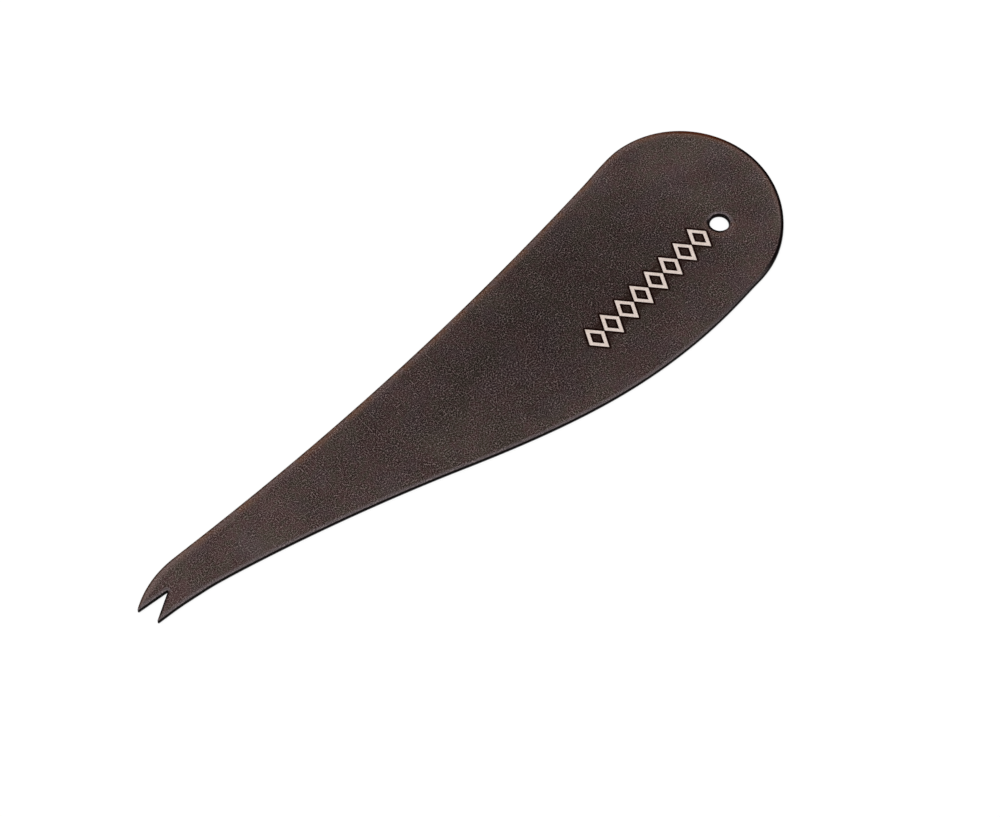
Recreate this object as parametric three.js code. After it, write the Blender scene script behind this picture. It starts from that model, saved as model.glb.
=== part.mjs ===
// Trimming tool: one leaf-shaped blank of thin sheet steel, with a V notch between two
// prongs at its narrow end and a hanging hole near its wide end.
//
// Units are millimetres. The plate lies flat on z = 0 with its thickness along +Z, its origin
// is the middle of its length and width, and +X runs along it towards the wide end.

import * as THREE from 'three';

// Driving dimensions.
const LENGTH = 100;
const WIDTH = 28.3;
const THICKNESS = 0.6;

// The sharp arrises are broken by a chamfer of this size, on both faces and round the hole.
const EDGE_BREAK = 0.04;

// The hanging hole.
const HOLE_DIAMETER = 2.6;
const HOLE_CENTRE = new THREE.Vector2(39.54, -2.96);

// The notch and its prongs, given by the points where their straight edges would meet.
const NOTCH_ROOT = new THREE.Vector2(-45.6, 1.77);
const UPPER_PRONG_TIP = new THREE.Vector2(-50.08, 1.92);
const LOWER_PRONG_TIP = new THREE.Vector2(-49.25, -0.75);
const ROOT_RADIUS = 0.1;
const TIP_RADIUS = 0.05;

// The rim, anticlockwise seen from above, from the lower prong round the wide end to the upper
// prong. The edge passes through each station at its heading, in degrees from +X, and
// approach and depart say how far it holds that heading before and after the station.
const RIM_STATIONS = [
  { name: 'lower prong', x: -49, y: -0.75, heading: 0, approach: 0, depart: 3.4 },
  { name: 'lower jaw', x: -42, y: -1.05, heading: -4.5, approach: 4, depart: 2.5 },
  { name: 'lower flank', x: -8.5, y: -8.7, heading: -17, approach: 17, depart: 15.5 },
  { name: 'belly', x: 22, y: -WIDTH / 2, heading: 0, approach: 7.5, depart: 7.5 },
  { name: 'lower shoulder', x: 37, y: -12.7, heading: 7, approach: 2.5, depart: 8 },
  { name: 'wide end', x: LENGTH / 2, y: 1.8, heading: 90, approach: 6.5, depart: 6.5 },
  { name: 'upper shoulder', x: 37.5, y: WIDTH / 2, heading: 180, approach: 7.5, depart: 2 },
  { name: 'upper flank', x: 30.5, y: 12.9, heading: 191, approach: 1.5, depart: 29 },
  { name: 'upper jaw', x: -42.5, y: 4.65, heading: 181.5, approach: 22.5, depart: 2.5 },
  { name: 'upper prong', x: -49.9, y: 2.1, heading: 217.5, approach: 3, depart: 0 },
];

// How finely round stretches are cut into flats.
const FACET_LENGTH = 0.8;
const CORNER_FACETS = 6;
const HOLE_FACETS = 64;

const steel = new THREE.MeshStandardMaterial({
  name: 'darkened_steel',
  color: 0x453b39,
  roughness: 0.5,
  metalness: 0.6,
});

function stationPoint(station) {
  return new THREE.Vector2(station.x, station.y);
}

// The vector of the given length that points along a heading in degrees.
function alongHeading(heading, length) {
  const angle = THREE.MathUtils.degToRad(heading);
  return new THREE.Vector2(Math.cos(angle), Math.sin(angle)).multiplyScalar(length);
}

// The smooth stretch of edge that joins two stations.
function rimStretch(from, to) {
  const start = stationPoint(from);
  const end = stationPoint(to);
  return new THREE.CubicBezierCurve(
    start,
    start.clone().add(alongHeading(from.heading, from.depart)),
    end.clone().sub(alongHeading(to.heading, to.approach)),
    end,
  );
}

// The arc that blunts a corner, touching the lines from it to the points before and after.
// A prong's tip turns anticlockwise and the root of the notch turns clockwise.
function cornerArc(before, corner, after, radius, clockwise) {
  const backward = before.clone().sub(corner).normalize();
  const forward = after.clone().sub(corner).normalize();
  const halfAngle = Math.acos(backward.dot(forward)) / 2;
  const bisector = backward.clone().add(forward).normalize();
  const centre = corner.clone().addScaledVector(bisector, radius / Math.sin(halfAngle));
  const setback = radius / Math.tan(halfAngle);
  const entry = corner.clone().addScaledVector(backward, setback).sub(centre);
  const exit = corner.clone().addScaledVector(forward, setback).sub(centre);
  return new THREE.ArcCurve(centre.x, centre.y, radius, entry.angle(), exit.angle(), clockwise);
}

// The whole outline as points: the lower prong's tip, the rim, the upper prong's tip and the
// notch. Straight edges need no points of their own between these.
function outlinePoints() {
  const rimStart = stationPoint(RIM_STATIONS.at(0));
  const rimEnd = stationPoint(RIM_STATIONS.at(-1));
  const lowerTip = cornerArc(NOTCH_ROOT, LOWER_PRONG_TIP, rimStart, TIP_RADIUS, false);
  const upperTip = cornerArc(rimEnd, UPPER_PRONG_TIP, NOTCH_ROOT, TIP_RADIUS, false);
  const root = cornerArc(UPPER_PRONG_TIP, NOTCH_ROOT, LOWER_PRONG_TIP, ROOT_RADIUS, true);

  const points = lowerTip.getPoints(CORNER_FACETS);
  for (let i = 1; i < RIM_STATIONS.length; i += 1) {
    const stretch = rimStretch(RIM_STATIONS[i - 1], RIM_STATIONS[i]);
    const facets = Math.ceil(stretch.getLength() / FACET_LENGTH);
    points.push(...stretch.getSpacedPoints(facets).slice(0, -1));
  }
  points.push(rimEnd);
  points.push(...upperTip.getPoints(CORNER_FACETS));
  points.push(...root.getPoints(CORNER_FACETS));
  return points;
}

function holePoints() {
  const radius = HOLE_DIAMETER / 2;
  const circle = new THREE.ArcCurve(HOLE_CENTRE.x, HOLE_CENTRE.y, radius, 0, 2 * Math.PI, true);
  return circle.getPoints(HOLE_FACETS).slice(0, -1);
}

// The chamfers take one EDGE_BREAK off each end of the extrusion, so the walls between them
// are that much shorter and the plate is raised to put its lower face on z = 0.
function makePlate() {
  const shape = new THREE.Shape(outlinePoints());
  shape.holes.push(new THREE.Path(holePoints()));
  const geometry = new THREE.ExtrudeGeometry(shape, {
    depth: THICKNESS - 2 * EDGE_BREAK,
    bevelEnabled: true,
    bevelThickness: EDGE_BREAK,
    bevelSize: EDGE_BREAK,
    bevelOffset: -EDGE_BREAK,
    bevelSegments: 1,
  });
  const plate = new THREE.Mesh(geometry, steel);
  plate.name = 'tool_plate';
  plate.position.z = EDGE_BREAK;
  return plate;
}

const group = new THREE.Group();
group.add(makePlate());

export default group;
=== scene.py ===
"""The trimming tool's looks: one dark sheet-steel plate lying on a pale studio floor.

Shapes are worked out in millimetres in the CAD frame (+X along the plate towards its wide
end, +Z up) and turned into metres when a mesh is made.
"""

import math

import bpy
import numpy as np
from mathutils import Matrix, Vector
from mathutils.geometry import delaunay_2d_cdt


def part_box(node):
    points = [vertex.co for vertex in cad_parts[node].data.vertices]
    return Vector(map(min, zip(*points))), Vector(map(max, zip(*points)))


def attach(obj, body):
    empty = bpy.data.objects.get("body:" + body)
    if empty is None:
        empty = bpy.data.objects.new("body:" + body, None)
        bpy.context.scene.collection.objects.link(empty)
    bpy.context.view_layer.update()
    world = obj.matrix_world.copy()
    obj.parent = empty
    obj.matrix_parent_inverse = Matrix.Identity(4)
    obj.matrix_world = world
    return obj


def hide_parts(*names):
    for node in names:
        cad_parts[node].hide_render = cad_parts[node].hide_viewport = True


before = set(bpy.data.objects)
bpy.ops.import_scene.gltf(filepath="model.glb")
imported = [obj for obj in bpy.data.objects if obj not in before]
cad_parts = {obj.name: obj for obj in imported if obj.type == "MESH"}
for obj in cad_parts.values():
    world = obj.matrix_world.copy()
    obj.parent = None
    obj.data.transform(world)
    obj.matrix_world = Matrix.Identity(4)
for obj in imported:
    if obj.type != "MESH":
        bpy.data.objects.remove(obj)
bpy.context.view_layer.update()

MM = 0.001
PLATE = "tool_plate"
plate_low, plate_high = (np.array(corner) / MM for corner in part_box(PLATE))
PLATE_TOP = plate_high[2]


# ---------------------------------------------------------------- sizes, in millimetres

# Reading the CAD outline, and drawing its round stretches more finely.
CORNER_DECIMALS = 4         # CAD corners that agree to this many decimals are one corner
WALL_TILT = 0.3             # a CAD face whose normal rises less than this is part of a wall
RIM_SPACING = 0.22          # along the rim, between points
STRAIGHT_EDGE = 2.0         # a longer facet of the CAD outline is a straight edge

# The cut edge, with round arrises in place of the CAD chamfer.
UPPER_ARRIS = 0.045         # radius, on the face that the cut was deburred from
LOWER_ARRIS = 0.03
ARRIS_STEPS = 4
WALL_STEPS = 4
HOLE_FLARE = 0.065          # the hole is this much wider, in radius, at its upper rim
HOLE_LEAN = 0.115           # and this much narrower again at its lower rim
SHARP_ANGLE = math.radians(35)

# Rows of points inside the rim, so that the finish can change with distance from it.
RIM_ROWS = (
    # depth, and how many points of the rim share one point of the row
    (0.1, 1),
    (0.2, 1),
    (0.35, 2),
    (0.55, 2),
    (0.85, 2),
    (1.3, 4),
    (1.9, 4),
    (2.7, 4),
)
ROW_CLEARANCE = 0.97        # a row keeps at least this share of its depth to every outline
LATTICE_PITCH = 1.6
LATTICE_RATIO = 0.866       # between the rows of an even triangular lattice
LATTICE_DEPTH = 3.2
MERGE_DISTANCE = 1e-7
POINTS_AT_ONCE = 500        # in a search for the nearest outline, to spare memory

# The etched mark, placed from the hanging hole: a row of plain open lozenges.
MARK_FROM_HOLE = np.array((-13.75, -1.35))
MARK_ANGLE = math.radians(7.5)
MARK_ALONG = np.array((math.cos(MARK_ANGLE), math.sin(MARK_ANGLE)))
MARK_ACROSS = np.array((-MARK_ALONG[1], MARK_ALONG[0]))
MARK_LENGTH = 23.2
MARK_HEIGHT = 4.0
MARK_STROKE = 0.46
LOZENGES = 8
LOZENGE_GAP = 0.35          # between two lozenges, in strokes
ETCH_DEPTH = 0.02
POCKET_FLOOR = PLATE_TOP - ETCH_DEPTH
HALO_DEPTHS = (0.06, 0.14, 0.3)
HALO_MARGIN = 0.1           # between the last row round the mark and other points
FAR_FROM_MARK = 10.0        # the distance stored below the upper face, which alone is etched


# ---------------------------------------------------------------- finish

# Material slots on the plate.
STEEL, WALL, ETCH = 0, 1, 2

# Colours, as linear light.
OLIVE = (0.0442, 0.0342, 0.0288, 1)
BROWN = (0.0497, 0.0314, 0.0301, 1)
VIOLET = (0.0471, 0.0342, 0.0380, 1)
GRAIN = (0.178, 0.1435, 0.138, 1)
EDGE_TINT = (0.40, 0.28, 0.25, 1)
# The painted highlight along the rim: grey where the rim faces the camera, the other tints where
# it faces away.
RIM_HIGHLIGHT_GREY = (0.090, 0.073, 0.075, 1)
RIM_HIGHLIGHT_BRONZE = (0.095, 0.054, 0.040, 1)
RIM_HIGHLIGHT_VIOLET = (0.086, 0.058, 0.054, 1)
RIM_HIGHLIGHT_TIP = (0.098, 0.068, 0.062, 1)
RIM_HIGHLIGHT_ORANGE = (0.088, 0.050, 0.036, 1)
RIM_HIGHLIGHT_END = (0.080, 0.051, 0.045, 1)
# A dark line at the very rim, where it faces away from the camera.
RIM_DARK_LINE = (0.024, 0.012, 0.008, 1)
HEAT_BROWN = (0.036, 0.008, 0.002, 1)
# Soot on the cut wall, kept darker than soot as painted shade; also the blackest of the dark rim
# lines.
SOOT_AND_SHADE_BLACK = (0.0022, 0.0014, 0.0014, 1)
WALL_STREAK = (0.0065, 0.0048, 0.0045, 1)
WALL_FOOT = (0.009, 0.006, 0.005, 1)
SCORCH = (0.038, 0.020, 0.014, 1)
ETCH_BURN = (0.0042, 0.0008, 0.0004, 1)
FROST_DULL = (0.38, 0.312, 0.281, 1)
FROST_PALE = (0.56, 0.474, 0.43, 1)
FROST_WARM = (0.40, 0.32, 0.27, 1)
FLOOR_DULL = (0.12, 0.12, 0.12, 1)
FLOOR_PALE = (0.13, 0.13, 0.13, 1)
WHITE = (1.0, 1.0, 1.0, 1)

# Noise patterns: scale per millimetre, detail, and roughness of the detail.
CLOUDS = (0.16, 1.0, 0.5)
VIOLET_CLOUDS = (0.27, 0.0, 0.5)
FLECKS = (1.1, 1.5, 0.7)
MOTTLE = (1.3, 1.0, 0.5)
DRIFT = (0.21, 1.0, 0.5)
GRAIN_CHANGES = (0.9, 1.0, 0.5)
RIM_CHANGES = (0.5, 1.0, 0.5)
DARK_LINE_DASHES = (1.5, 2.0, 0.5)
WALL_STREAKS = (7.0, 3.0, 0.5)
FROST = (5.0, 2.0, 0.6)
FROST_CHANGES = (1.1, 1.0, 0.5)
FLOOR_TOOTH = (0.6, 2.0, 0.5)

# The range of a pattern's values over which one look turns into another.
SHARP_TURN = (0.40, 0.60)
PLAIN_TURN = (0.35, 0.65)
SOFT_TURN = (0.30, 0.70)
VIOLET_TURN = (0.50, 0.70)
FROST_WARM_TURN = (0.45, 0.70)

# The colour of the broad face, and how dark it is, partly as painted reflection.
CLOUD_SHARE = 0.45          # of the hue; the flecks make up the rest
VIOLET_SHARE = 0.4
MOTTLE_TONES = (0.965, 1.035)
DRIFT_TONES = (0.92, 1.08)
RIM_TONES = (1.05, 0.98)
RIM_TONE_DEPTH = (0.5, 5.0)
TONE_AND_REFLECTION_PATCHES = (
    # centre, reach, tone: darker over the broad middle and lighter towards both ends, partly
    # painted reflection of the studio light
    ((18.0, 1.0), (46.0, 20.0), 0.67),
    ((-32.0, 0.5), (11.0, 8.0), 1.13),
    ((39.0, 6.0), (12.0, 11.0), 1.19),
    ((-5.0, -5.0), (10.0, 6.0), 1.16),
    ((8.0, 7.0), (13.0, 5.0), 1.13),
    ((-14.0, 1.0), (8.0, 8.0), 0.93),
    ((30.0, -1.0), (8.0, 6.0), 1.06),
    ((50.0, -2.0), (7.0, 14.0), 1.12),
)

# The dimples left by the blasting.
DIMPLES = 5.6               # per millimetre
DIMPLE_RANDOMNESS = 0.75
DIMPLE_MIDDLE = 0.43        # their mean height
DIMPLE_TOP = 0.8            # their height at the rim
DIMPLE_RELIEF = 0.004
GRAIN_STRENGTHS = (0.65, 1.25)
GRAIN_ZONES = (
    # centre, reach, strength: weakest at the tip
    ((-39.0, 2.0), (15.0, 14.0), 0.80),
    ((-3.0, -6.0), (26.0, 12.0), 1.22),
    ((49.0, -1.0), (7.0, 12.0), 1.18),
)
STEEL_ROUGHNESS = (0.38, 0.46)
CLOUD_ROUGHNESS = (-0.03, 0.03)
STEEL_METALLIC = 0.9
STEEL_SPECULAR = 0.2

# The zones of the notch, the hole and the tip: centre and reach, or a stretch along X.
NOTCH_ZONE = ((-47.2, 0.6), (3.4, 2.2))
NOTCH_TURN = (0.1, 0.5)
HOLE_ZONE_REACH = (3.0, 3.0)
HOLE_TURN = (0.0, 0.4)
TIP_STRETCH = (-46.0, -36.0)

# Two directions that the rim's colours follow, and the cosines over which each one turns. The
# first points away from the camera: the painted highlight and the dark line along the rim follow
# which way the rim faces the camera.
AWAY_FROM_CAMERA_BEARING = math.radians(48.56)
AWAY_FROM_CAMERA = np.array((math.cos(AWAY_FROM_CAMERA_BEARING), math.sin(AWAY_FROM_CAMERA_BEARING)))
SOOT_DIRECTION = np.array((0.86, -0.51))
FAR_SIDE_TURN = (-0.25, 0.25)
END_SIDE = (0.5, 0.85)
ORANGE_SIDE = (-0.5, 0.4)
BROWN_SIDE = (-0.4, 0.3)
BLACK_SIDE = (0.45, 0.82)
HOLE_LINE_SIDE = (-0.6, 0.0)
HOLE_LINE_END = (-0.7, 0.1)

# Depths inside the rim, or from the mark, over which each edge colour ends.
# How far in the painted highlight along the rim reaches, where the rim faces the camera and where
# it faces away.
NEAR_HIGHLIGHT_REACH = 0.55
FAR_HIGHLIGHT_REACH = 1.3
HIGHLIGHT_TURN = (0.12, 1.0)     # of that reach
DARK_LINE_DEPTH = (0.10, 0.32)
BROWN_DEPTH = (0.26, 0.60)
BLACK_DEPTH = (0.26, 0.46)
SCORCH_DEPTH = (0.20, 0.60)
ETCH_BURN_DEPTH = (0.18, 0.42)

# Strengths of the edge colours, from 0 to 1.
HOLE_SPARING = 0.5          # how much of the far-side painted highlight the hole's edge lacks
RIM_LINE = 0.2              # the least of the dark line at the rim
TIP_LINE = 0.85             # the least of it at the tip
HOLE_LINE_LEAST = 0.3       # the least of the line round the hole
HOLE_LINE_EXTRA = 0.10      # how much deeper, in millimetres, that line is
END_COOLING = 0.6           # how much less browned the rim is where it faces the end
SCORCH_STRENGTH = 0.35

# The wall, the etched metal and the floor.
WALL_FOOT_HEIGHT = (0.0, 0.25)
WALL_FOOT_STRENGTH = 0.5
WALL_ROUGHNESS = (0.78, 0.95)
WALL_SPECULAR = 0.03
WALL_RELIEF = 0.008
ETCH_WARMTH = 0.4
ETCH_ROUGHNESS = (0.6, 0.75)
ETCH_RELIEF = 0.004
FLOOR_ROUGHNESS = 0.9
FLOOR_SPECULAR = 0.1
FLOOR_GLOW = 0.85
CONTACT_SHADOW_REACH = 0.205       # how near the plate the floor is painted dark, as a contact shadow
CONTACT_SHADOW_TURN = (0.5, 0.85)


# ---------------------------------------------------------------- view and light

CAMERA_AZIMUTH = math.radians(-41.44)
CAMERA_ELEVATION = math.radians(58.5)
CAMERA_DISTANCE = 306.5
CAMERA_LENS = 90.0
CAMERA_SENSOR = 36.0
CAMERA_CLIP = (0.01, 20.0)  # in metres
CAMERA_TARGET = np.array((0.131, -5.074))   # from the middle of the plate

FLOOR_HALF = 3000.0
FLOOR_GAP = 0.01
SOFTBOXES = {
    # name: (position, width and depth, radiance)
    "key": ((-260.0, -420.0, 560.0), (520.0, 520.0), 1.5),
    "tip_fill": ((-150.0, 300.0, 600.0), (380.0, 380.0), 3.0),
    "end_fill": ((660.0, 300.0, 600.0), (380.0, 380.0), 3.0),
}


# ---------------------------------------------------------------- outline

def cad_loops(node):
    """The closed outlines of the plate, longest first, from the top of the CAD walls."""
    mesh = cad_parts[node].data
    mesh.calc_loop_triangles()
    place = [tuple(round(c / MM, CORNER_DECIMALS) for c in v.co) for v in mesh.vertices]
    walls = [t for t in mesh.loop_triangles if abs(t.normal.z) < WALL_TILT]
    level = max(place[v][2] for t in walls for v in t.vertices)
    following = {}
    for t in walls:
        corners = [place[v] for v in t.vertices]
        for a, b in zip(corners, corners[1:] + corners[:1]):
            if a[2] == level and b[2] == level and a != b:
                following[a[:2]] = b[:2]
    loops = []
    while following:
        start = next(iter(following))
        loop = [start]
        point = following.pop(start)
        while point != start:
            loop.append(point)
            point = following.pop(point)
        loops.append(np.array(loop))
    return sorted(loops, key=len, reverse=True)


def signed_area(loop):
    ahead = np.roll(loop, -1, axis=0)
    return 0.5 * float(np.sum(loop[:, 0] * ahead[:, 1] - ahead[:, 0] * loop[:, 1]))


def smooth_segment(p0, p1, p2, p3, parts):
    """Points on the centripetal Catmull-Rom curve from p1 up to p2."""
    t0 = 0.0
    t1 = t0 + math.sqrt(np.linalg.norm(p1 - p0))
    t2 = t1 + math.sqrt(np.linalg.norm(p2 - p1))
    t3 = t2 + math.sqrt(np.linalg.norm(p3 - p2))
    points = []
    for t in np.linspace(t1, t2, parts, endpoint=False):
        a1 = (t1 - t) / (t1 - t0) * p0 + (t - t0) / (t1 - t0) * p1
        a2 = (t2 - t) / (t2 - t1) * p1 + (t - t1) / (t2 - t1) * p2
        a3 = (t3 - t) / (t3 - t2) * p2 + (t - t2) / (t3 - t2) * p3
        b1 = (t2 - t) / (t2 - t0) * a1 + (t - t0) / (t2 - t0) * a2
        b2 = (t3 - t) / (t3 - t1) * a2 + (t - t1) / (t3 - t1) * a3
        points.append((t2 - t) / (t2 - t1) * b1 + (t - t1) / (t2 - t1) * b2)
    return points


def refined(loop, anticlockwise):
    """The same loop with its round stretches drawn finely and its long facets kept straight."""
    if (signed_area(loop) > 0) != anticlockwise:
        loop = loop[::-1]
    count = len(loop)
    points = []
    for i in range(count):
        p0, p1, p2, p3 = (loop[(i + k) % count] for k in (-1, 0, 1, 2))
        length = np.linalg.norm(p2 - p1)
        parts = max(1, math.ceil(length / RIM_SPACING))
        if length > STRAIGHT_EDGE:
            points.extend(p1 + (p2 - p1) * k / parts for k in range(parts))
        else:
            points.extend(smooth_segment(p0, p1, p2, p3, parts))
    return np.array(points)


def inward_normals(loop):
    """Unit normals pointing into the material, which lies to the left of the loop."""
    ahead = np.roll(loop, -1, axis=0) - loop
    behind = loop - np.roll(loop, 1, axis=0)
    ahead /= np.linalg.norm(ahead, axis=1)[:, None]
    behind /= np.linalg.norm(behind, axis=1)[:, None]
    along = ahead + behind
    along /= np.linalg.norm(along, axis=1)[:, None]
    return np.column_stack((-along[:, 1], along[:, 0]))


def nearest(points, loops):
    """For each point: its distance to the nearest loop, and that loop's outward normal there."""
    points = np.asarray(points, float)
    best = np.full(len(points), np.inf)
    outward = np.zeros((len(points), 2))
    for loop in loops:
        step = np.roll(loop, -1, axis=0) - loop
        length2 = (step ** 2).sum(1)
        for first in range(0, len(points), POINTS_AT_ONCE):
            batch = slice(first, first + POINTS_AT_ONCE)
            offset = points[batch, None, :] - loop[None]
            share = np.clip((offset * step).sum(2) / length2, 0, 1)
            gap = offset - share[..., None] * step
            distance = np.sqrt((gap ** 2).sum(2))
            pick = distance.argmin(1)
            close = distance.min(1)
            better = close < best[batch]
            direction = step[pick] / np.sqrt(length2[pick])[:, None]
            normal = np.column_stack((direction[:, 1], -direction[:, 0]))
            best[batch][better] = close[better]
            outward[batch][better] = normal[better]
    return best, outward


def inside(points, loop):
    """Which points lie inside a closed loop, by counting the edges to their right."""
    points = np.asarray(points, float)
    ahead = np.roll(loop, -1, axis=0)
    odd = np.zeros(len(points), bool)
    for a, b in zip(loop, ahead):
        spans = (a[1] > points[:, 1]) != (b[1] > points[:, 1])
        if spans.any():
            crossing = a[0] + (points[:, 1] - a[1]) * (b[0] - a[0]) / (b[1] - a[1])
            odd ^= spans & (points[:, 0] < crossing)
    return odd


# ---------------------------------------------------------------- meshes

class MeshMaker:
    """Collects points and faces in millimetres."""

    def __init__(self):
        self.points = []
        self.faces = []
        self.finishes = []

    def ring(self, loop, z):
        first = len(self.points)
        self.points.extend((x, y, z) for x, y in loop)
        return list(range(first, len(self.points)))

    def face(self, corners, finish):
        self.faces.append(tuple(corners))
        self.finishes.append(finish)

    def band(self, upper, lower, finish):
        """Quads between two rings whose loops run anticlockwise round the material."""
        count = len(upper)
        for i in range(count):
            j = (i + 1) % count
            self.face((upper[i], lower[i], lower[j], upper[j]), finish)

    def fill(self, rings, free, z, facing_up, finish):
        """Triangles over the first ring, less the others, through free points between them."""
        edges = []
        given = []
        indices = []
        for ring in rings:
            first = len(given)
            given.extend(Vector(self.points[i][:2]) for i in ring)
            indices.extend(ring)
            count = len(ring)
            edges.extend((first + i, first + (i + 1) % count) for i in range(count))
        first_free = len(self.points)
        self.points.extend((x, y, z) for x, y in free)
        given.extend(Vector(p) for p in free)
        indices.extend(range(first_free, len(self.points)))
        result = delaunay_2d_cdt(given, edges, [], 0, MERGE_DISTANCE, True)
        out_points, _, out_faces, origins = result[:4]
        kept = [indices[origin[0]] for origin in origins]
        centres = np.array([np.mean([out_points[i] for i in f], axis=0) for f in out_faces])
        loops = [np.array([self.points[i][:2] for i in ring]) for ring in rings]
        wanted = inside(centres, loops[0])
        for loop in loops[1:]:
            wanted &= ~inside(centres, loop)
        for face, want in zip(out_faces, wanted):
            if want:
                corners = [kept[i] for i in face]
                self.face(corners if facing_up else reversed(corners), finish)

    def mesh(self, name):
        made = bpy.data.meshes.new(name)
        made.from_pydata([tuple(c * MM for c in p) for p in self.points], [], self.faces)
        made.polygons.foreach_set("material_index", self.finishes)
        made.shade_smooth()
        made.set_sharp_from_angle(angle=SHARP_ANGLE)
        return made


def add_object(name, data):
    made = bpy.data.objects.new(name, data)
    bpy.context.scene.collection.objects.link(made)
    return made


def store(mesh, name, values):
    attribute = mesh.attributes.new(name, "FLOAT", "POINT")
    attribute.data.foreach_set("value", np.asarray(values, np.float32))


def lozenge(centre, width, height):
    """A lozenge's four corners, anticlockwise, on the mark's slanting line."""
    return np.array([
        centre + MARK_ALONG * width / 2,
        centre + MARK_ACROSS * height / 2,
        centre - MARK_ALONG * width / 2,
        centre - MARK_ACROSS * height / 2,
    ])


def divided(loop, spacing):
    """The same straight-sided loop with points no further apart than spacing."""
    points = []
    for a, b in zip(loop, np.roll(loop, -1, axis=0)):
        parts = max(1, math.ceil(np.linalg.norm(b - a) / spacing))
        points.extend(a + (b - a) * k / parts for k in range(parts))
    return np.array(points)


def mark_strokes(hole_centre):
    """Each lozenge of the mark as its outer and inner outline."""
    centre = hole_centre + MARK_FROM_HOLE
    pitch = MARK_LENGTH / LOZENGES
    width = pitch - MARK_STROKE * LOZENGE_GAP
    slant = math.hypot(width, MARK_HEIGHT)
    shrink = 1 - 2 * MARK_STROKE * slant / (width * MARK_HEIGHT)
    strokes = []
    for k in range(LOZENGES):
        middle = centre + MARK_ALONG * pitch * (k - (LOZENGES - 1) / 2)
        outer = divided(lozenge(middle, width, MARK_HEIGHT), RIM_SPACING)
        inner = divided(lozenge(middle, width * shrink, MARK_HEIGHT * shrink), RIM_SPACING)
        strokes.append((outer, inner))
    return strokes


def edge_profile():
    """(inset from the outline, height) from the upper face round the edge to the lower face."""
    profile = []
    for k in range(ARRIS_STEPS + 1):
        angle = math.pi / 2 * k / ARRIS_STEPS
        inset = UPPER_ARRIS * (1 - math.sin(angle))
        profile.append((inset, PLATE_TOP - UPPER_ARRIS * (1 - math.cos(angle))))
    top_of_wall = PLATE_TOP - UPPER_ARRIS
    for k in range(1, WALL_STEPS):
        profile.append((0.0, top_of_wall + (LOWER_ARRIS - top_of_wall) * k / WALL_STEPS))
    for k in range(ARRIS_STEPS + 1):
        angle = math.pi / 2 * k / ARRIS_STEPS
        inset = LOWER_ARRIS * (1 - math.cos(angle))
        profile.append((inset, LOWER_ARRIS * (1 - math.sin(angle))))
    return profile


def add_edge(maker, loop, lean):
    """The arrises and the wall round one outline: its rings from top to bottom."""
    inward = inward_normals(loop)
    rings = []
    for inset, height in edge_profile():
        drop = 1 - height / PLATE_TOP
        rings.append(maker.ring(loop + inward * (inset - lean * drop), height))
    for step, (upper, lower) in enumerate(zip(rings, rings[1:])):
        maker.band(upper, lower, STEEL if step < ARRIS_STEPS else WALL)
    return rings


def add_upper_face(maker, loops, rims, strokes):
    """The upper face, with the mark's strokes as shallow pockets in it."""
    free = free_points(loops, strokes)
    outer_rims = [maker.ring(outer, PLATE_TOP) for outer, _ in strokes]
    inner_rims = [maker.ring(inner, PLATE_TOP) for _, inner in strokes]
    maker.fill(rims + outer_rims, free, PLATE_TOP, True, STEEL)
    for (outer, inner), outer_rim, inner_rim in zip(strokes, outer_rims, inner_rims):
        maker.fill([inner_rim], inner_points(inner), PLATE_TOP, True, STEEL)
        outer_floor = maker.ring(outer, POCKET_FLOOR)
        inner_floor = maker.ring(inner, POCKET_FLOOR)
        maker.band(outer_floor, outer_rim, ETCH)
        maker.band(inner_rim, inner_floor, ETCH)
        maker.fill([outer_floor, inner_floor], [], POCKET_FLOOR, True, ETCH)


def store_distances(mesh, points, loops, strokes, runs):
    """Keeps what the materials read at each point: where it is from the rim and the mark."""
    flat = points[:, :2]
    distance, outward = nearest(flat, loops)
    store(mesh, "rim_distance", distance)
    # Which way the rim faces the camera, for the painted rim highlight and the dark rim line.
    store(mesh, "rim_away_from_camera", outward @ AWAY_FROM_CAMERA)
    store(mesh, "rim_endward", outward @ SOOT_DIRECTION)
    store(mesh, "rim_run", [runs.get(i, 0.0) for i in range(len(points))])
    mark_distance, _ = nearest(flat, [loop for stroke in strokes for loop in stroke])
    mark_distance[points[:, 2] < POCKET_FLOOR - ETCH_DEPTH] = FAR_FROM_MARK
    store(mesh, "mark_distance", mark_distance)


def make_plate(loops, strokes):
    """The whole plate as one closed mesh, from the outlines of its rim and its hole."""
    maker = MeshMaker()
    upper_rings = []
    lower_rings = []
    runs = {}
    for loop, lean in zip(loops, (0.0, HOLE_LEAN)):
        rings = add_edge(maker, loop, lean)
        run = np.r_[0, np.cumsum(np.linalg.norm(np.diff(loop, axis=0), axis=1))]
        for ring in rings:
            runs.update(zip(ring, run))
        upper_rings.append(rings[0])
        lower_rings.append(rings[-1])
    add_upper_face(maker, loops, upper_rings, strokes)
    maker.fill(lower_rings, free_points(loops, []), 0.0, False, STEEL)

    mesh = maker.mesh(PLATE + "_finish")
    store_distances(mesh, np.array(maker.points), loops, strokes, runs)
    return add_object("plate_sheet", mesh)


def lattice_points():
    """An even triangular lattice over the plate's box."""
    points = []
    for row, y in enumerate(np.arange(plate_low[1], plate_high[1], LATTICE_PITCH * LATTICE_RATIO)):
        start = plate_low[0] + (LATTICE_PITCH / 2 if row % 2 else 0)
        points.extend((x, y) for x in np.arange(start, plate_high[0], LATTICE_PITCH))
    return np.array(points)


def offset_row(loop, depth, neighbours):
    """The loop moved inwards, without the points that come nearer to a neighbour than that."""
    row = loop + inward_normals(loop) * depth
    gap, _ = nearest(row, neighbours)
    return row[gap > depth * ROW_CLEARANCE]


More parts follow.
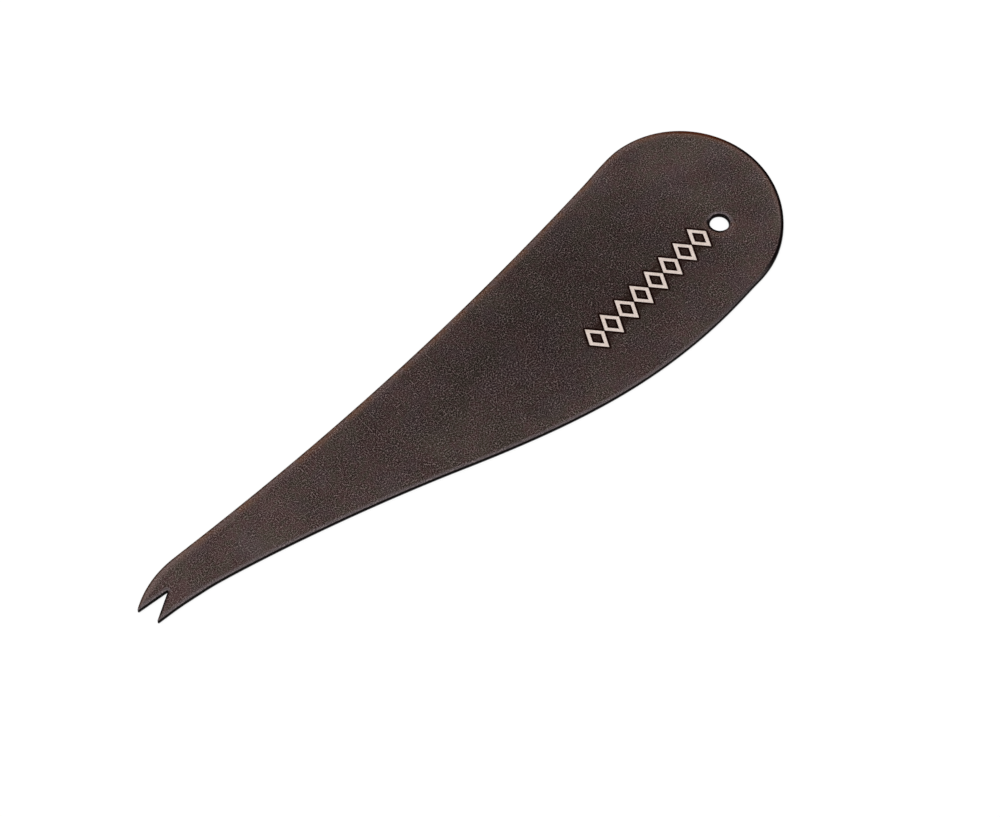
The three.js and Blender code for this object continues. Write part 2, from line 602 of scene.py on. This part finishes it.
def inner_points(inner):
    """Points in the middle of a lozenge, in rows that follow its outline."""
    return np.vstack([offset_row(inner, depth, [inner]) for depth in HALO_DEPTHS])


def free_points(loops, strokes):
    """Points inside a face: rows that follow the rim and the mark, and a lattice between."""
    rows = []
    for depth, step in RIM_ROWS:
        for loop in loops:
            rows.append(offset_row(loop, depth + UPPER_ARRIS, loops)[::step])
    lattice = lattice_points()
    gap, _ = nearest(lattice, loops)
    rows.append(lattice[gap > LATTICE_DEPTH])
    points = np.vstack(rows)
    points = points[inside(points, loops[0]) & ~inside(points, loops[1])]
    if strokes:
        outlines = [outer for outer, _ in strokes]
        gap, _ = nearest(points, outlines)
        points = points[gap > HALO_DEPTHS[-1] + HALO_MARGIN]
        halo = [
            offset_row(outer[::-1], depth, outlines)
            for depth in HALO_DEPTHS
            for outer in outlines
        ]
        points = np.vstack([points, *halo])
        for outer in outlines:
            points = points[~inside(points, outer)]
    return points


# ---------------------------------------------------------------- materials

class Graph:
    """A material's node tree, with short calls for the nodes used here."""

    def __init__(self, name):
        self.material = bpy.data.materials.new(name)
        self.material.use_nodes = True
        self.tree = self.material.node_tree
        self.shader = self.tree.nodes["Principled BSDF"]

    def node(self, kind, **inputs):
        made = self.tree.nodes.new(kind)
        for key, value in inputs.items():
            self.feed(made.inputs[key.replace("_", " ")], value)
        return made

    def feed(self, socket, value):
        if isinstance(value, bpy.types.NodeSocket):
            self.tree.links.new(value, socket)
        else:
            socket.default_value = value

    def shade(self, **inputs):
        """Sets the shader's own inputs, such as Base_Color, to a socket or a plain value."""
        for key, value in inputs.items():
            self.feed(self.shader.inputs[key.replace("_", " ")], value)

    def maths(self, operation, a, b):
        made = self.tree.nodes.new("ShaderNodeMath")
        made.operation = operation
        self.feed(made.inputs[0], a)
        self.feed(made.inputs[1], b)
        return made.outputs[0]

    def product(self, first, *others):
        for other in others:
            first = self.maths("MULTIPLY", first, other)
        return first

    def larger(self, a, b):
        return self.maths("MAXIMUM", a, b)

    def less(self, value):
        """What the value leaves of 1."""
        return self.maths("SUBTRACT", 1.0, value)

    def vector_maths(self, operation, a, b=None):
        made = self.tree.nodes.new("ShaderNodeVectorMath")
        made.operation = operation
        self.feed(made.inputs[0], a)
        if b is not None:
            self.feed(made.inputs[1], b)
        return made

    def attribute(self, name):
        made = self.tree.nodes.new("ShaderNodeAttribute")
        made.attribute_name = name
        return made.outputs["Fac"]

    def millimetres(self):
        coordinates = self.tree.nodes.new("ShaderNodeTexCoord").outputs["Object"]
        return self.vector_maths("MULTIPLY", coordinates, (1 / MM,) * 3).outputs[0]

    def axis(self, vector, name):
        return self.node("ShaderNodeSeparateXYZ", Vector=vector).outputs[name]

    def noise(self, vector, scale, detail, roughness):
        made = self.node("ShaderNodeTexNoise", Vector=vector, Scale=scale, Detail=detail,
                         Roughness=roughness)
        return made.outputs["Fac"]

    def dimples(self, vector, scale, randomness):
        """Distance from the middle of the nearest dimple, in a layer of them over the face."""
        made = self.node("ShaderNodeTexVoronoi", Vector=vector, Scale=scale,
                         Randomness=randomness)
        made.voronoi_dimensions = "2D"
        return made.outputs["Distance"]

    def turn(self, value, limits, results=(0.0, 1.0)):
        """Turns smoothly from the first result to the second as the value passes its limits."""
        made = self.tree.nodes.new("ShaderNodeMapRange")
        made.interpolation_type = "SMOOTHSTEP"
        self.feed(made.inputs["Value"], value)
        made.inputs["From Min"].default_value, made.inputs["From Max"].default_value = limits
        made.inputs["To Min"].default_value, made.inputs["To Max"].default_value = results
        return made.outputs[0]

    def fade(self, value, limits, start=1.0):
        """Falls smoothly from start to 0 as the value passes its limits."""
        return self.turn(value, limits, (start, 0.0))

    def zone(self, place, centre, reach):
        """1 at the centre of an ellipse, falling smoothly to 0 at its edge and beyond."""
        shifted = self.vector_maths("SUBTRACT", place, (*centre, 0.0)).outputs[0]
        shrink = (1 / reach[0], 1 / reach[1], 0.0)
        squashed = self.vector_maths("MULTIPLY", shifted, shrink).outputs[0]
        length = self.vector_maths("LENGTH", squashed).outputs["Value"]
        return self.fade(length, (0.0, 1.0))

    def changed_in(self, zones, place, value):
        """The value, multiplied in each zone by an amount that is full at its centre."""
        for centre, reach, amount in zones:
            inside_zone = self.zone(place, centre, reach)
            value = self.product(value, self.turn(inside_zone, (0.0, 1.0), (1.0, amount)))
        return value

    def blend(self, share, a, b, mode="MIX"):
        made = self.tree.nodes.new("ShaderNodeMix")
        made.data_type = "RGBA"
        made.blend_type = mode
        self.feed(made.inputs[0], share)
        self.feed(made.inputs[6], a)
        self.feed(made.inputs[7], b)
        return made.outputs[2]

    def dimmed(self, colour, value):
        """The colour times a plain number."""
        grey = self.node("ShaderNodeCombineColor", Red=value, Green=value, Blue=value)
        return self.blend(1.0, colour, grey.outputs[0], "MULTIPLY")

    def bump(self, height, relief):
        return self.node("ShaderNodeBump", Height=height, Distance=relief * MM).outputs[0]


class RimZones:
    """Where on the plate each change of the finish applies, as values from 0 to 1; some follow
    which way the rim faces the camera.
    """

    def __init__(self, g, place, hole_centre):
        self.depth = g.attribute("rim_distance")
        self.facing_away = g.attribute("rim_away_from_camera")
        self.endward = g.attribute("rim_endward")
        # The side of the rim away from the camera, for the painted rim highlight and the dark rim
        # line.
        self.far_side = g.turn(self.facing_away, FAR_SIDE_TURN)
        self.end = g.turn(self.endward, END_SIDE)
        self.tip = g.fade(g.axis(place, "X"), TIP_STRETCH)
        self.notch = g.turn(g.zone(place, *NOTCH_ZONE), NOTCH_TURN)
        self.hole = g.turn(g.zone(place, hole_centre, HOLE_ZONE_REACH), HOLE_TURN)


def broad_finish(g, place, clouds):
    """Broad clouds of olive, brown and violet-grey in the finish, and smaller flecks."""
    flecks = g.noise(place, *FLECKS)
    hue = g.maths("ADD", g.product(clouds, CLOUD_SHARE), g.product(flecks, 1 - CLOUD_SHARE))
    colour = g.blend(g.turn(hue, SHARP_TURN), OLIVE, BROWN)
    violet = g.turn(g.noise(place, *VIOLET_CLOUDS), VIOLET_TURN, (0.0, VIOLET_SHARE))
    return g.blend(violet, colour, VIOLET)


def finish_tone(g, place, zones):
    """How dark the face is: lower where it is darker; the dark broad middle and lighter ends are
    partly painted reflection.
    """
    tone = g.product(g.turn(g.noise(place, *MOTTLE), SOFT_TURN, MOTTLE_TONES),
                     g.turn(g.noise(place, *DRIFT), SOFT_TURN, DRIFT_TONES))
    # Partly painted reflection: darker over the broad middle, lighter towards both ends.
    tone = g.changed_in(TONE_AND_REFLECTION_PATCHES, place, tone)
    return g.product(tone, g.turn(zones.depth, RIM_TONE_DEPTH, RIM_TONES))


def with_rim_highlight(g, place, zones, colour):
    """A painted highlight along the rounded rim: a wide warm band where the rim faces away from
    the camera, a narrow grey one where it faces the camera. It is weaker in the notch and round
    the hole."""
    wider = g.product(zones.far_side, FAR_HIGHLIGHT_REACH - NEAR_HIGHLIGHT_REACH)
    reach = g.maths("ADD", NEAR_HIGHLIGHT_REACH, wider)
    rim_highlight = g.fade(g.maths("DIVIDE", zones.depth, reach), HIGHLIGHT_TURN)
    spared = g.larger(zones.notch, g.product(zones.hole, HOLE_SPARING))
    rim_highlight = g.product(rim_highlight, g.less(g.product(spared, zones.far_side)))
    warm = g.blend(g.turn(g.noise(place, *RIM_CHANGES), SHARP_TURN), RIM_HIGHLIGHT_BRONZE, RIM_HIGHLIGHT_VIOLET)
    warm = g.blend(g.turn(zones.endward, ORANGE_SIDE), warm, RIM_HIGHLIGHT_ORANGE)
    warm = g.blend(zones.end, warm, RIM_HIGHLIGHT_END)
    warm = g.blend(zones.tip, warm, RIM_HIGHLIGHT_TIP)
    # Painted highlight: the rim band, grey where the rim faces the camera and warm where it faces
    # away.
    return g.blend(rim_highlight, colour, g.blend(zones.far_side, RIM_HIGHLIGHT_GREY, warm))


def with_grain(g, place, dimples, colour):
    """Blasted grain, as neutral specks lighter and darker than the finish."""
    strength = g.turn(g.noise(place, *GRAIN_CHANGES), PLAIN_TURN, GRAIN_STRENGTHS)
    strength = g.changed_in(GRAIN_ZONES, place, strength)
    speck = g.product(g.maths("SUBTRACT", dimples, DIMPLE_MIDDLE), strength)
    return g.blend(1.0, colour, g.dimmed(GRAIN, speck), "ADD")


def with_dark_rim_line(g, place, zones, colour):
    """A dark, uneven line along the very rim where it faces away from the camera, and round the
    near side of the hole; it is blackest in the notch and the hole.
    """
    dashes = g.turn(g.noise(place, *DARK_LINE_DASHES), SHARP_TURN, (RIM_LINE, 1.0))
    dashes = g.larger(dashes, g.product(zones.tip, TIP_LINE))
    rim_line = g.product(zones.far_side, dashes, g.less(zones.hole))
    hole_line = g.product(g.turn(zones.facing_away, HOLE_LINE_SIDE),
                          g.turn(zones.endward, HOLE_LINE_END, (HOLE_LINE_LEAST, 1.0)),
                          zones.hole)
    depth = g.maths("SUBTRACT", zones.depth, g.product(hole_line, HOLE_LINE_EXTRA))
    # A dark line at the very rim where it faces away from the camera, wider round the hole's near
    # side.
    rim_darkening = g.product(g.larger(rim_line, hole_line), g.fade(depth, DARK_LINE_DEPTH))
    darkest = g.larger(zones.notch, zones.hole)
    return g.blend(rim_darkening, colour, g.blend(darkest, RIM_DARK_LINE, SOOT_AND_SHADE_BLACK))


def with_heated_end(g, zones, colour):
    """Heat has browned and then blackened the last of the rim round the wide end."""
    spared = g.larger(zones.hole, g.product(zones.end, END_COOLING))
    browned = g.product(zones.far_side, g.turn(zones.endward, BROWN_SIDE), g.less(spared),
                        g.fade(zones.depth, BROWN_DEPTH))
    blackened = g.product(g.turn(zones.endward, BLACK_SIDE),
                          g.fade(zones.depth, BLACK_DEPTH), g.less(zones.hole))
    return g.blend(blackened, g.blend(browned, colour, HEAT_BROWN), SOOT_AND_SHADE_BLACK)


def with_scorched_mark(g, colour):
    """A narrow scorched line runs round the etched mark."""
    distance = g.attribute("mark_distance")
    colour = g.blend(g.fade(distance, SCORCH_DEPTH, SCORCH_STRENGTH), colour, SCORCH)
    return g.blend(g.fade(distance, ETCH_BURN_DEPTH), colour, ETCH_BURN)


def darkened_steel(hole_centre):
    """Bead-blasted sheet steel with a dark brown-black finish."""
    g = Graph("darkened_steel")
    place = g.millimetres()
    zones = RimZones(g, place, hole_centre)
    clouds = g.noise(place, *CLOUDS)
    dimples = g.dimples(place, DIMPLES, DIMPLE_RANDOMNESS)

    colour = g.dimmed(broad_finish(g, place, clouds), finish_tone(g, place, zones))
    colour = with_rim_highlight(g, place, zones, colour)
    colour = with_grain(g, place, dimples, colour)
    colour = with_dark_rim_line(g, place, zones, colour)
    colour = with_heated_end(g, zones, colour)
    colour = with_scorched_mark(g, colour)
    roughness = g.maths("ADD", g.turn(dimples, (0.0, DIMPLE_TOP), STEEL_ROUGHNESS),
                        g.turn(clouds, PLAIN_TURN, CLOUD_ROUGHNESS))
    g.shade(Base_Color=colour, Roughness=roughness, Metallic=STEEL_METALLIC,
            Specular_IOR_Level=STEEL_SPECULAR, Specular_Tint=EDGE_TINT,
            Normal=g.bump(dimples, DIMPLE_RELIEF))
    return g.material


def cut_wall():
    """The scorched wall of the cut: soot-black and darker still as painted shade, with fine
    upright striations.
    """
    g = Graph("cut_wall")
    run = g.node("ShaderNodeCombineXYZ", X=g.attribute("rim_run")).outputs[0]
    height = g.axis(g.millimetres(), "Z")
    streaks = g.noise(run, *WALL_STREAKS)
    # Painted shade: the wall is kept near black, darker than its soot alone.
    colour = g.blend(g.turn(streaks, PLAIN_TURN), SOOT_AND_SHADE_BLACK, WALL_STREAK)
    colour = g.blend(g.fade(height, WALL_FOOT_HEIGHT, WALL_FOOT_STRENGTH), colour, WALL_FOOT)
    g.shade(Base_Color=colour, Roughness=g.turn(streaks, SOFT_TURN, WALL_ROUGHNESS),
            Specular_IOR_Level=WALL_SPECULAR, Normal=g.bump(streaks, WALL_RELIEF))
    return g.material


def etched_steel():
    """Pale warm frosted metal where the finish has been etched away."""
    g = Graph("etched_mark")
    place = g.millimetres()
    frost = g.noise(place, *FROST)
    colour = g.blend(g.turn(frost, SOFT_TURN), FROST_DULL, FROST_PALE)
    warm = g.turn(g.noise(place, *FROST_CHANGES), FROST_WARM_TURN, (0.0, ETCH_WARMTH))
    g.shade(Base_Color=g.blend(warm, colour, FROST_WARM),
            Roughness=g.turn(frost, SOFT_TURN, ETCH_ROUGHNESS),
            Normal=g.bump(frost, ETCH_RELIEF))
    return g.material


def studio_floor():
    """Plain white acrylic that glows as if lit from below, with a painted contact shadow: its
    colour and glow darken only along the line of contact.
    """
    g = Graph("studio_floor")
    contact = g.node("ShaderNodeAmbientOcclusion", Distance=CONTACT_SHADOW_REACH * MM)
    # Painted contact shadow: ambient occlusion darkens the floor's colour and glow next to the
    # plate.
    clear_of_painted_shadow = g.turn(contact.outputs["AO"], CONTACT_SHADOW_TURN)
    white = g.blend(g.noise(g.millimetres(), *FLOOR_TOOTH), FLOOR_DULL, FLOOR_PALE)
    g.shade(Base_Color=g.dimmed(white, clear_of_painted_shadow), Roughness=FLOOR_ROUGHNESS,
            Specular_IOR_Level=FLOOR_SPECULAR, Emission_Color=WHITE,
            Emission_Strength=g.product(clear_of_painted_shadow, FLOOR_GLOW))
    return g.material


# ---------------------------------------------------------------- studio

def make_floor():
    maker = MeshMaker()
    corners = [(-1, -1), (1, -1), (1, 1), (-1, 1)]
    ring = maker.ring([(x * FLOOR_HALF, y * FLOOR_HALF) for x, y in corners],
                      plate_low[2] - FLOOR_GAP)
    maker.face(ring, 0)
    floor = add_object("studio_floor", maker.mesh("studio_floor"))
    floor.data.materials.append(studio_floor())


def add_softbox(name, position, size, radiance):
    """A rectangular lamp facing the plate, as bright as a surface of that radiance."""
    light = bpy.data.lights.new(name, "AREA")
    light.shape = "RECTANGLE"
    light.size, light.size_y = (s * MM for s in size)
    light.energy = radiance * math.pi * light.size * light.size_y
    lamp = add_object(name, light)
    lamp.location = Vector(position) * MM
    lamp.rotation_mode = "QUATERNION"
    lamp.rotation_quaternion = (-Vector(position)).to_track_quat("-Z", "Y")


def light_studio():
    world = bpy.data.worlds.new("soft_world")
    world.use_nodes = True
    background = world.node_tree.nodes["Background"]
    background.inputs["Color"].default_value = WHITE
    background.inputs["Strength"].default_value = 1.0
    bpy.context.scene.world = world
    for name, (position, size, radiance) in SOFTBOXES.items():
        add_softbox(name, position, size, radiance)


def make_camera():
    back = Vector((math.sin(CAMERA_AZIMUTH) * math.cos(CAMERA_ELEVATION),
                   -math.cos(CAMERA_AZIMUTH) * math.cos(CAMERA_ELEVATION),
                   math.sin(CAMERA_ELEVATION)))
    target_x, target_y = (plate_low + plate_high)[:2] / 2 + CAMERA_TARGET
    data = bpy.data.cameras.new("camera")
    data.lens = CAMERA_LENS
    data.sensor_width = CAMERA_SENSOR
    data.clip_start, data.clip_end = CAMERA_CLIP
    camera = add_object("camera", data)
    camera.location = (Vector((target_x, target_y, plate_low[2])) + back * CAMERA_DISTANCE) * MM
    camera.rotation_mode = "QUATERNION"
    camera.rotation_quaternion = (-back).to_track_quat("-Z", "Y")
    bpy.context.scene.camera = camera


# ---------------------------------------------------------------- scene

outline, hole = cad_loops(PLATE)
outline = refined(outline, anticlockwise=True)
hole = refined(hole, anticlockwise=False)
hole += inward_normals(hole) * HOLE_FLARE

hole_centre = hole.mean(axis=0)
plate = make_plate([outline, hole], mark_strokes(hole_centre))
for material in (darkened_steel(hole_centre), cut_wall(), etched_steel()):
    plate.data.materials.append(material)
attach(plate, "root")
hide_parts(PLATE)

make_floor()
light_studio()
make_camera()

scene = bpy.context.scene
scene.view_settings.view_transform = "Standard"
scene.view_settings.look = "None"
